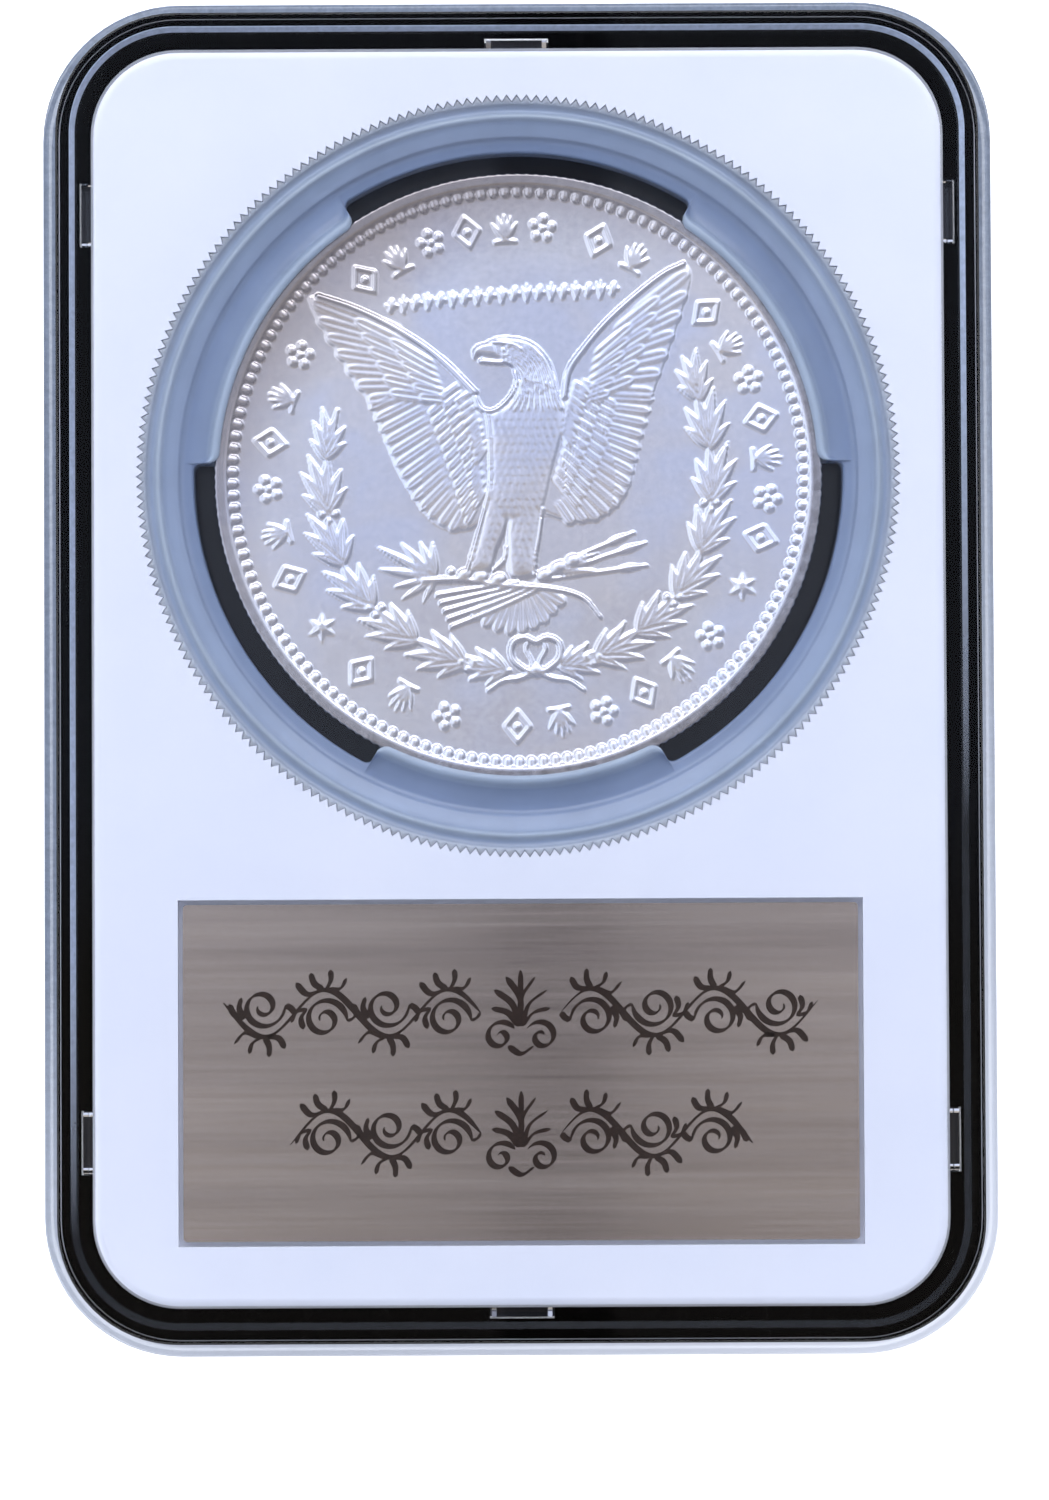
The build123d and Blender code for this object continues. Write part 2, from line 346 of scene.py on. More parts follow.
def eagle_body(relief):
    """Breast, two thighs and the hollow between them, with small overlapping feathers."""
    before = relief.h.copy()
    relief.fill([(-2.5, 4.5), (-2.0, 4.1), (-0.9, 4.5), (-0.3, 4.9), (2.3, 5.2), (2.95, 4.1), (2.75, 2.4),
                 (2.2, 0.3), (1.5, -2.2), (-0.1, -3.0), (-2.0, -2.0), (-1.85, -0.3), (-1.9, 3.2)],
                0.17, 0.5, dome=0.07)
    relief.fill([(-1.9, -0.6), (-0.6, -1.4), (-0.75, -3.2), (-1.35, -4.7), (-1.75, -5.9), (-3.2, -5.95),
                 (-2.75, -4.4), (-2.35, -2.9), (-2.1, -1.8)], 0.17, 0.4, dome=0.06)
    relief.fill([(-0.5, -1.4), (1.4, -1.2), (1.35, -3.0), (1.1, -4.6), (0.95, -6.2), (-0.5, -6.3),
                 (-0.75, -4.6), (-0.7, -2.8)], 0.16, 0.4, dome=0.06)
    at = relief.near([(-3.0, -5.6), (3.0, 4.6)], 0)
    own = relief.h[at] > before[at] + 0.05
    depth = 0.03 * smooth(relief.h[at], 0.12, 0.2) * own
    relief.h[at] += depth * (scales(relief.x[at], relief.y[at], 0.46, 0.5) - 0.5)
    relief.stroke([(-2.0, 4.0), (-1.85, 3.2), (-1.75, 1.2), (-1.8, -0.6), (-2.1, -2.0), (-2.5, -3.5),
                   (-2.9, -4.9), (-3.25, -6.0)], 0.24, 0.235, steps=5)
    relief.stroke([(-0.75, -4.4), (-0.9, -5.2), (-1.6, -5.9)], 0.2, 0.2, steps=5)
    relief.stroke([(1.5, -2.0), (1.3, -3.6), (1.05, -5.0), (0.95, -6.2)], 0.22, 0.225, steps=5)


def eagle_head(relief):
    """Head in profile: hooked beak, brow and eye, and long neck feathers that end over the breast."""
    relief.fill([(-2.75, 7.35), (-2.85, 7.9), (-2.5, 8.3), (-2.0, 8.45), (-1.5, 8.68), (-0.7, 8.8),
                 (0.3, 8.68), (1.15, 8.28), (1.75, 7.65), (2.2, 6.9), (2.45, 6.0), (2.65, 5.0),
                 (3.0, 4.1), (1.0, 3.9), (-0.8, 4.3), (-0.35, 5.0), (-0.08, 5.6), (0.02, 6.2),
                 (-0.25, 6.6), (-0.6, 6.95), (-1.2, 7.1), (-2.1, 7.12), (-2.35, 7.25), (-2.3, 7.5),
                 (-2.55, 7.55)], 0.17, 0.35, dome=0.03)
    crown = [(-0.7, 8.6), (0.3, 8.5), (1.05, 8.1), (1.65, 7.5), (2.05, 6.8), (2.3, 6.0), (2.5, 5.0),
             (2.8, 4.2)]
    throat = [(-1.1, 7.25), (-0.5, 7.1), (-0.05, 6.7), (0.2, 6.2), (0.1, 5.6), (-0.15, 5.0), (-0.55, 4.5),
              (-0.9, 4.2)]
    crown, throat = spaced(curve_through(crown), 40), spaced(curve_through(throat), 40)
    draws = np.random.default_rng(7)
    for row in range(9):
        for lane in np.linspace(0.04, 0.96, 9):
            start = min(0.1 * row + 0.06 * draws.random(), 0.86)
            along = np.linspace(start, min(start + 0.27, 1), 4)
            across = np.clip(lane + (0.11 if row % 2 else 0.0) - 0.02 * row, 0.03, 0.97)
            points = [crown[int(39 * t)] * (1 - across) + throat[int(39 * t)] * across for t in along]
            relief.stroke(points, 0.3, 0.225 + 0.006 * row, taper=0.6, steps=3)
    relief.fill([(-2.7, 7.35), (-2.82, 7.88), (-2.45, 8.26), (-1.95, 8.4), (-1.45, 8.4), (-1.25, 7.9),
                 (-1.4, 7.55), (-2.2, 7.6), (-2.5, 7.65)], 0.25, 0.25)
    relief.stroke([(-1.6, 8.42), (-0.9, 8.38), (-0.2, 8.22), (0.25, 7.95)], 0.22, 0.285)
    relief.stroke([(-2.35, 7.24), (-1.7, 7.18), (-1.0, 7.14)], 0.24, 0.25)
    relief.stroke([(-2.65, 5.0), (-2.5, 4.5), (-2.1, 4.15), (-1.5, 4.15), (-0.85, 4.6), (-0.3, 5.3),
                   (-0.05, 6.0), (-0.2, 6.55)], 0.3, 0.25, taper=0.3, steps=6)
    eye = relief.near([(-0.9, 7.93)], 0.3)
    d = np.hypot(relief.x[eye] + 0.9, relief.y[eye] - 7.93)
    relief.h[eye] = np.where(d < 0.26, 0.17 + 0.09 * np.exp(-(d / 0.12) ** 2), relief.h[eye])
    mouth = relief.near([(-2.4, 7.3), (-0.8, 7.6)], 0.1)
    line = np.abs(relief.y[mouth] - 7.43 - 0.06 * np.sin(2 * relief.x[mouth]))
    relief.h[mouth] -= 0.07 * np.exp(-(line / 0.07) ** 2) * (relief.h[mouth] > 0.15)


def perch(relief):
    """Tail, arrows, branch and claws."""
    relief.feathers([(-0.6, -6.8), (0.0, -6.9), (0.9, -6.8)],
                    [(-2.9, -8.9), (-1.9, -9.6), (-0.5, -9.95), (0.7, -9.8), (1.8, -9.2), (2.9, -8.0)],
                    9, 0.95, 0.12)
    for index in range(5):
        relief.stroke([(-5.1 + 0.22 * index, -7.4 - 0.5 * index), (-2.6 + 0.3 * index, -7.0 - 0.32 * index),
                       (0.0 + 0.3 * index, -6.6 - 0.12 * index)], 0.26, 0.17)
    for start, end in (((1.6, -5.9), (7.2, -3.55)), ((1.8, -6.2), (7.95, -4.2)), ((1.5, -6.5), (8.0, -5.6))):
        relief.stroke([start, ((start[0] + end[0]) / 2, (start[1] + end[1]) / 2), end], 0.2, 0.12)
        head = np.array(end, float)
        along = (head - start) / np.hypot(*(head - start))
        relief.blade(head - 1.9 * along, head, 0.5, 0.15, vein=0.0)
    relief.stroke([(-6.0, -6.5), (-3.5, -6.45), (-0.8, -6.85), (1.2, -6.95), (3.1, -7.25), (4.2, -7.75),
                   (5.1, -8.85)], 0.42, 0.2, taper=0.5)
    for tip, width in (((-8.95, -4.3), 0.6), ((-8.8, -5.75), 0.6), ((-7.5, -4.0), 0.6), ((-6.2, -3.9), 0.55),
                       ((-5.4, -4.0), 0.55), ((-7.9, -6.9), 0.5), ((-7.4, -7.7), 0.5), ((-6.0, -7.9), 0.45)):
        relief.blade((-5.2, -6.35), tip, width, 0.15)
    relief.pellet((-4.25, -5.95), 0.28, 0.19)
    for tip in ((5.1, -4.75), (5.3, -5.15), (5.0, -5.9), (4.3, -4.9)):
        relief.blade((1.9, -6.0), tip, 0.5, 0.16)
    for x, y in ((-3.4, -6.15), (-2.4, -6.3), (-1.3, -6.45), (1.6, -6.2), (2.5, -5.7), (3.4, -5.3)):
        relief.pellet((x, y), 0.42, 0.24, stretch=1.3, turn=20)


def leaf_bundle(relief, node, aim, length, lean):
    """Overlapping pointed leaves that spring from one place on a wreath's stem."""
    node = np.array(node, float)
    leaves = ((-44, 0.62, 0.62, 0.1), (42, 0.66, 0.62, 0.0), (-27, 0.88, 0.78, 0.25),
              (26, 0.92, 0.78, 0.3), (-10, 1.0, 0.8, 0.5), (11, 1.08, 0.8, 0.55))
    for spread, reach, width, back in leaves:
        direction = turned([(1, 0)], aim + lean * spread)[0]
        start = node + back * turned([(1, 0)], aim)[0]
        relief.blade(start, start + reach * length * direction, width * length / 3.0, 0.17,
                     bend=-0.1 * lean * np.sign(spread), vein=0.35)


def wreath(relief):
    left = [(-0.6, -12.15), (-3.2, -11.7), (-6.3, -10.35), (-9.0, -8.3), (-10.9, -5.6), (-11.85, -2.4),
            (-12.0, 1.0), (-11.3, 4.2)]
    right = [(2.4, -12.0), (4.6, -11.4), (7.3, -9.9), (9.7, -7.7), (11.3, -4.9), (12.05, -1.8),
             (12.0, 1.6), (11.4, 4.6), (10.9, 6.4)]
    for side, nodes, last in ((1, left, 6), (-1, right, 7)):
        relief.stroke(nodes, 0.26, 0.13, steps=6)
        for index in range(last + 1):
            node = nodes[index]
            ahead = nodes[min(index + 1, len(nodes) - 1)]
            behind = nodes[max(index - 1, 0)]
            aim = math.degrees(math.atan2(ahead[1] - behind[1], ahead[0] - behind[0]))
            leaf_bundle(relief, node, aim, 3.3 if 0 < index < last else 2.7, side)
        for x, y in nodes[1:last:2]:
            for dx, dy in ((-0.42, 0.1), (0.4, 0.12), (0.0, -0.34)):
                relief.pellet((x + dx, y + dy), 0.26, 0.2)


def bow(relief):
    """Ribbon that ties the two branches: two loops, a fold between them, a knot and two tails."""
    loop = [(0.15, -0.1), (0.75, 0.15), (1.5, 0.85), (1.45, 1.75), (0.75, 2.1), (0.1, 1.85)]
    fold = [(0.1, 0.1), (0.3, 0.75), (0.62, 1.35), (0.5, 1.75)]
    tail = [(0.1, -0.05), (1.1, -0.45), (2.1, -0.6), (3.0, -1.2)]
    for side in (1, -1):
        for part, width, height, taper, steps in ((loop, 0.4, 0.19, 0, 6), (fold, 0.22, 0.15, 0, 5),
                                                  (tail, 0.36, 0.17, 0.35, 5)):
            relief.stroke([(1.05 + side * x, -12.2 + y) for x, y in part], width, height, taper, steps)
    relief.pellet((1.05, -12.15), 0.42, 0.22, stretch=1.25)


def star(relief, centre, radius, turn):
    """A plain six-pointed star with cut faces."""
    points = 6
    outline = []
    for index in range(2 * points):
        reach = radius if index % 2 == 0 else 0.46 * radius
        a = math.radians(turn + 180 * index / points)
        outline.append((centre[0] + reach * math.cos(a), centre[1] + reach * math.sin(a)))
    relief.facets(outline, 0.17, 0.24 * radius)


def legend_ornament(relief, degrees, radius, index):
    """One of three small plain ornaments, upright on a circle: a lozenge, a palmette or a rosette."""
    def place(tangential, radial):
        a = math.radians(degrees)
        r = radius + radial
        return (r * math.cos(a) + tangential * math.sin(a), r * math.sin(a) - tangential * math.cos(a))

    def line(points, width):
        relief.stroke([place(*point) for point in points], width, 0.12, steps=3)

    if index % 3 == 0:
        corners = [(0, 0.95), (0.78, 0), (0, -0.95), (-0.78, 0)]
        for (a, b), (c, d) in zip(corners, corners[1:] + corners[:1]):
            line([(a, b), ((a + c) / 2, (b + d) / 2), (c, d)], 0.3)
        relief.pellet(place(0, 0), 0.24, 0.14)
    elif index % 3 == 1:
        for lean, reach in ((-0.85, 0.35), (-0.45, 0.8), (0, 0.98), (0.45, 0.8), (0.85, 0.35)):
            relief.blade(place(0, -0.8), place(lean, reach), 0.42, 0.14, vein=0.1)
        line([(-0.62, -0.9), (0, -0.84), (0.62, -0.9)], 0.28)
    else:
        for step in range(5):
            a = math.radians(90 + 72 * step)
            relief.pellet(place(0.6 * math.cos(a), 0.6 * math.sin(a)), 0.31, 0.14)
        relief.pellet(place(0, 0), 0.25, 0.14)


def legend(relief, radius, groups):
    """Groups of ornaments on a circle; each group is its first and last angle and its count."""
    for first, last, count in groups:
        for index, degrees in enumerate(np.linspace(first, last, count)):
            legend_ornament(relief, degrees, radius, index)


def garland(relief):
    """A fine band of lozenges, sprigs and pellets over the bird's head."""
    for index, (x, y) in enumerate(spaced([(-7.9, 10.75), (-4.0, 11.2), (0.0, 11.5), (6.0, 11.75)], 19)):
        if index % 2:
            for dx, dy in ((-0.28, 0.42), (0, 0.6), (0.28, 0.42)):
                relief.blade((x, y - 0.5), (x + dx, y + dy), 0.26, 0.12, vein=0.0)
            relief.pellet((x, y - 0.45), 0.14, 0.12)
        else:
            relief.pellet((x, y), 0.24, 0.13, stretch=2.1, turn=78)
            relief.pellet((x - 0.3, y), 0.13, 0.1)
            relief.pellet((x + 0.3, y), 0.13, 0.1)


def reverse_relief(x, y):
    relief = Relief(x, y)
    wreath(relief)
    bow(relief)
    perch(relief)
    left_wing(relief)
    right_wing(relief)
    eagle_body(relief)
    eagle_head(relief)
    for centre in ((-12.3, -9.4), (14.0, -6.95)):
        star(relief, centre, 1.05, 90)
    legend(relief, LEGEND_RADIUS, ((204, 150.6, 6), (127.6, 84.2, 6), (71, 61.6, 2),
                                   (40.9, -14.5, 7), (231, 253.3, 3), (269.6, 320, 6)))
    garland(relief)
    return relief.h


def obverse_relief(x, y):
    """A plain design for the side that faces down: a cut star in a laurel wreath."""
    relief = Relief(x, y)
    star(relief, (0, 0), 7.2, 90)
    for side in (1, -1):
        nodes = [(side * 10.6 * math.sin(a), -10.6 * math.cos(a)) for a in np.linspace(0.12, 2.75, 8)]
        relief.stroke(nodes, 0.26, 0.12)
        for node, ahead in zip(nodes[:-1], nodes[1:]):
            aim = math.degrees(math.atan2(ahead[1] - node[1], ahead[0] - node[0]))
            leaf_bundle(relief, node, aim, 3.6, side)
    legend(relief, LEGEND_RADIUS, ((0, 345, 24),))
    return relief.h


def beads_and_rim(radius, angle):
    """Heights of the bead circle and the rim."""
    pitch = 2 * math.pi * BEAD_RADIUS / BEAD_COUNT
    across = (np.mod(angle * BEAD_COUNT / (2 * math.pi), 1) - 0.5) * pitch
    along = radius - BEAD_RADIUS
    bead = np.sqrt(np.clip(1 - (across / (0.43 * pitch)) ** 2 - (np.minimum(along, 0) / 0.36) ** 2, 0, 1))
    bead = np.where(along < 0.42, BEAD_HEIGHT * bead, 0)
    rim = FIELD_DROP * smooth(radius, RIM_INNER_RADIUS - 0.3, RIM_INNER_RADIUS + 0.08)
    return np.maximum(bead, rim)


def stitch(inner, outer):
    """Faces between two rings of vertex numbers that may differ in count."""
    n, m = len(inner), len(outer)
    if n == m:
        return [(inner[i], outer[i], outer[(i + 1) % n], inner[(i + 1) % n]) for i in range(n)]
    faces = []
    i = j = 0
    while i < n or j < m:
        if j < m and (i == n or (j + 1) / m <= (i + 1) / n):
            faces.append((inner[i % n], outer[j % m], outer[(j + 1) % m]))
            j += 1
        else:
            faces.append((inner[i % n], outer[j % m], inner[(i + 1) % n]))
            i += 1
    return faces


def coin_face(relief_of, step):
    """Rings of points over one face, from the centre out: radii, counts, x, y and height."""
    zones = ((1.5, 48), (3.0, COIN_SEGMENTS // 8), (6.0, COIN_SEGMENTS // 4), (9.0, COIN_SEGMENTS // 2),
             (13.0, 3 * COIN_SEGMENTS // 4), (DESIGN_LIMIT - 0.05, COIN_SEGMENTS))
    rings = []
    radius = step
    for limit, count in zones:
        while radius < limit:
            rings.append((radius, count))
            radius += step
    radii = list(np.linspace(DESIGN_LIMIT, RIM_INNER_RADIUS + 0.08, int(0.93 / min(step, 0.07)) + 1))
    radii += [18.5, COIN_RADIUS - EDGE_ROUND - 0.06, COIN_RADIUS - EDGE_ROUND]
    rings += [(radius, COIN_SEGMENTS) for radius in radii]
    x, y, r, a = [0.0], [0.0], [0.0], [0.0]
    for radius, count in rings:
        angles = np.arange(count) * 2 * math.pi / count
        x.extend(radius * np.cos(angles))
        y.extend(radius * np.sin(angles))
        r.extend([radius] * count)
        a.extend(angles)
    x, y, r, a = (np.array(v) for v in (x, y, r, a))
    height = np.maximum(relief_of(x, y) * smooth(-r, -17.6, -17.2), beads_and_rim(r, a))
    return rings, x, y, height


def build_coin(material):
    """The coin as one closed mesh: both struck faces and the reeded edge between them."""
    segments = COIN_SEGMENTS
    coarse = 1.0
    faces, vertices, borders = [], [], []
    for relief_of, step, up in ((reverse_relief, 0.1 * coarse, 1), (obverse_relief, 0.2 * coarse, -1)):
        rings, x, y, height = coin_face(relief_of, step)
        start = len(vertices)
        z = up * (HALF_COIN - FIELD_DROP + height)
        vertices.extend(np.column_stack([x * up, y, z]))
        numbers = start + 1
        previous = None
        for radius, count in rings:
            ring = list(range(numbers, numbers + count))
            numbers += count
            if previous is None:
                faces.extend((start, ring[i], ring[(i + 1) % count]) for i in range(count))
            else:
                faces.extend(stitch(previous, ring))
            previous = ring
        borders.append(previous)
    top, bottom = borders
    bottom = [bottom[(segments // 2 - i) % segments] for i in range(segments)]
    angles = np.arange(segments) * 2 * math.pi / segments
    reeds = 0.5 - 0.5 * np.cos(REED_COUNT * angles)
    profile = ((0.05, 0.04, 0.3), (0.0, EDGE_ROUND, 1.0), (0.0, 2 * HALF_COIN - EDGE_ROUND, 1.0),
               (0.05, 2 * HALF_COIN - 0.04, 0.3))
    previous = top
    for inset, drop, depth in profile:
        radius = COIN_RADIUS - inset - REED_DEPTH * depth * reeds
        start = len(vertices)
        vertices.extend(np.column_stack([radius * np.cos(angles), radius * np.sin(angles),
                                         np.full(segments, HALF_COIN - drop)]))
        ring = list(range(start, start + segments))
        faces.extend(stitch(previous, ring))
        previous = ring
    faces.extend(stitch(previous, bottom))
    placed = np.array(vertices) + np.array(COIN_CENTRE)
    coin = mesh_object("struck_coin", placed, faces, "coin", material)
    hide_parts("coin")
    return coin


# ---------------------------------------------------------------- ring

def ring_section(inset, flare, tooth_radius):
    """Upper half of the ring's section. At a prong, inset is how far its rounded end draws back;
    between prongs inset is None, and flare is how far the fillet beside a prong stands in."""
    if inset is None:
        bore = RING_BORE - flare
        inner = [(bore, 0.0), (bore, 0.3), (bore, 0.5), (bore, 0.7), (bore + 0.01, 0.82), (bore + 0.03, 0.9),
                 (bore + 0.07, 0.97), (bore + 0.13, 1.02), (20.5, 1.04), (20.6, 1.06), (20.7, 1.09),
                 (20.8, 1.12), (20.9, 1.15), (21.0, 1.18), (21.1, 1.22)]
    else:
        groove = COIN_RADIUS + GROOVE_CLEARANCE
        lip = PRONG_REACH + inset
        inner = [(groove + inset, 0.0), (groove + inset, HALF_COIN + 0.05), (lip + 0.05, HALF_COIN + 0.08),
                 (lip, 1.38), (lip + 0.03, 1.55), (lip + 0.12, 1.67), (lip + 0.25, 1.72), (lip + 0.4, 1.7),
                 (lip + 0.52, 1.6), (lip + 0.63, 1.45), (lip + 0.78, 1.32), (20.05 + inset / 2, 1.2),
                 (20.45, 1.14), (20.85, 1.14), (21.1, 1.22)]
    outer = [(21.18, 1.34), (21.24, 1.45), (21.34, 1.52), (21.6, 1.62), (21.9, 1.73), (22.15, 1.83),
             (22.26, 1.93), (22.35, 2.05), (22.45, HALF_RING), (22.56, 2.07), (22.68, 1.96),
             (22.8, 1.87), (22.95, 1.84), (23.08, 1.88), (23.2, 1.98), (23.26, HALF_RING),
             (tooth_radius - 0.02, HALF_RING), (tooth_radius, HALF_RING - 0.03)]
    return inner + outer


def build_ring(material):
    """Pronged ring with rounded lips and toothed edge, as one closed mesh."""
    count = RING_TEETH * len(TOOTH_SHAPE)
    columns = []
    for index in range(count):
        degrees = 360 * index / count
        off_centre = min(abs((degrees - centre + 180) % 360 - 180) for centre in PRONG_CENTRES_DEG)
        arc = math.radians(PRONG_HALF_SPAN_DEG - off_centre) * PRONG_ARC_RADIUS
        inset, flare = None, 0.0
        if arc >= 0:
            short = max(0.0, PRONG_CORNER - arc) / PRONG_CORNER
            inset = PRONG_CORNER * (1 - math.sqrt(1 - short ** 2))
        elif arc > -PRONG_FILLET:
            flare = PRONG_FILLET * (1 - math.sqrt(1 - (1 + arc / PRONG_FILLET) ** 2))
        tooth = TOOTH_SHAPE[index % len(TOOTH_SHAPE)]
        upper = ring_section(inset, flare, RING_TIP_RADIUS - TOOTH_DEPTH * (1 - tooth))
        lower = [(radius, -height) for radius, height in reversed(upper[1:])]
        a = math.radians(degrees)
        columns.append([(r * math.cos(a), r * math.sin(a), z) for r, z in upper + lower])
    vertices = np.array(columns).reshape(-1, 3) + np.array(COIN_CENTRE)
    faces = tube_faces(count, len(columns[0]), True)
    ring = mesh_object("pronged_ring", vertices, faces, "coin_ring", material)
    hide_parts("coin_ring")
    return ring


# ---------------------------------------------------------------- engraved ornament

NIB_DEG = 40
THIN_STROKE = 0.15
THICK_STROKE = 0.42
ENGRAVING_RISE = 0.01


def curl(centre, radius, start, turns, hand):
    """A spiral that starts on a circle about its centre and winds in to a small bud."""
    t = np.linspace(0, 1, 90)
    a = math.radians(start) + hand * 2 * math.pi * turns * t
    r = radius * (1 - 0.8 * t ** 0.85)
    return np.column_stack([centre[0] + r * np.cos(a), centre[1] + r * np.sin(a)])


def drop(start, end, bow=0.0):
    """A short curved pen stroke."""
    start, end = np.array(start, float), np.array(end, float)
    across = turned([end - start], 90)[0]
    return curve_through([start, (start + end) / 2 + bow * across, end], 10)


def vine(first, last, waves, swing):
    """One half of a running scroll: a waving stem, a curl in each hollow, and leaves on each crest."""
    pitch = (last - first) / waves
    height = 0.5 * swing
    t = np.linspace(-0.5, waves - 0.35, 60 * waves)
    strokes = [np.column_stack([first + pitch * (t + 0.5), height * np.cos(math.pi * t)])]
    for index in range(waves):
        up = 1 if index % 2 == 0 else -1
        x = first + pitch * (index + 0.5)
        radius = 0.37 * pitch
        eye = (x + 0.02 * pitch, up * (height - radius - 0.42))
        strokes.append(curl(eye, radius, 185 if up > 0 else 175, 1.55, -up))
        strokes.append(drop((x - 0.5 * pitch, 0.0), (eye[0] - radius, eye[1] - 0.1 * up), -0.12 * up))
        for lean, reach, bow in ((-0.34, 0.5, 0.25), (-0.08, 0.86, 0.12), (0.24, 0.72, -0.18),
                                 (0.48, 0.3, -0.3)):
            root = (x + 0.12 * lean * pitch, up * (height + 0.02))
            strokes.append(drop(root, (x + lean * pitch, up * (height + reach * 0.5 * swing)), bow * up))
        for lean, reach in ((0.36, 0.34), (0.56, 0.2)):
            root = (x + 0.3 * pitch, up * (0.1 * swing))
            strokes.append(drop(root, (x + lean * pitch, -up * reach * swing), 0.2 * up))
    return strokes


def ornament_row(half_width, waves, swing):
    """A running scroll of pen strokes, mirrored about a palmette in the middle."""
    half = vine(2.5, half_width, waves, swing)
    for lean, reach in ((16, 1.0), (38, 0.86), (64, 0.66)):
        tip = turned([(0, reach * swing)], -lean)[0]
        half.append(drop((0.12, -0.3 * swing), (tip[0] + 0.1, tip[1] - 0.2 * swing), 0.16))
    half.append(curl((1.3, -0.52 * swing), 0.36 * swing, 150, 1.3, -1))
    mirrored = [stroke * (-1, 1) for stroke in half]
    middle = [drop((0, -0.3 * swing), (0, 0.9 * swing)),
              drop((-0.8, -0.72 * swing), (0.8, -0.72 * swing), -0.3)]
    return half + mirrored + middle


def ribbon(points, level, side):
    """A pen stroke as a thin closed solid on a plaque: its width follows the angle of a broad nib."""
    p = spaced(points, max(10, int(np.hypot(*np.diff(points, axis=0).T).sum() / 0.12)))
    along = np.gradient(p, axis=0)
    heading = np.arctan2(along[:, 1], along[:, 0])
    s = np.linspace(0, 1, len(p))
    ends = np.sqrt(np.clip(np.minimum(s, 1 - s) / 0.12, 0.04, 1))
    nib = np.abs(np.sin(heading - math.radians(NIB_DEG)))
    half = 0.5 * (THIN_STROKE + (THICK_STROKE - THIN_STROKE) * nib ** 1.3) * ends
    across = np.column_stack([-np.sin(heading), np.cos(heading)]) * half[:, None]
    ring = []
    for sign, rise in ((1, -0.03), (1, ENGRAVING_RISE), (-1, ENGRAVING_RISE), (-1, -0.03)):
        ring.append(np.column_stack([p + sign * across, np.full(len(p), level + side * rise)]))
    vertices = np.stack(ring, axis=1).reshape(-1, 3)
    faces = tube_faces(len(p), 4, False)
    last = 4 * (len(p) - 1)
    faces += [(3, 2, 1, 0), (last, last + 1, last + 2, last + 3)]
    if side < 0:
        faces = [tuple(reversed(face)) for face in faces]
    return vertices, faces


def build_engraving(name, node, side, material):
    """Two rows of pen-work ornament cut and filled in a plaque's outer face."""
    low, high = (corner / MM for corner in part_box(node))
    centre = (low + high) / 2
    level = high.z if side > 0 else low.z
    strokes = [stroke + (0.0, 3.7) for stroke in ornament_row(17.9, 4, 2.9)]
    strokes += [stroke + (0.0, -3.8) for stroke in ornament_row(13.8, 3, 2.9)]
    vertices, faces = [], []
    for index, stroke in enumerate(strokes):
        stroke = stroke * (side, 1) + (centre.x, centre.y)
        v, f = ribbon(stroke, level + side * 0.0004 * (index % 9), side)
        faces += [tuple(number + len(vertices) for number in face) for face in f]
        vertices += list(v)
    return mesh_object(name, vertices, faces, "insert", material, smooth_faces=False)


# ---------------------------------------------------------------- materials

NOISE_LOW, NOISE_HIGH = 0.3, 0.7


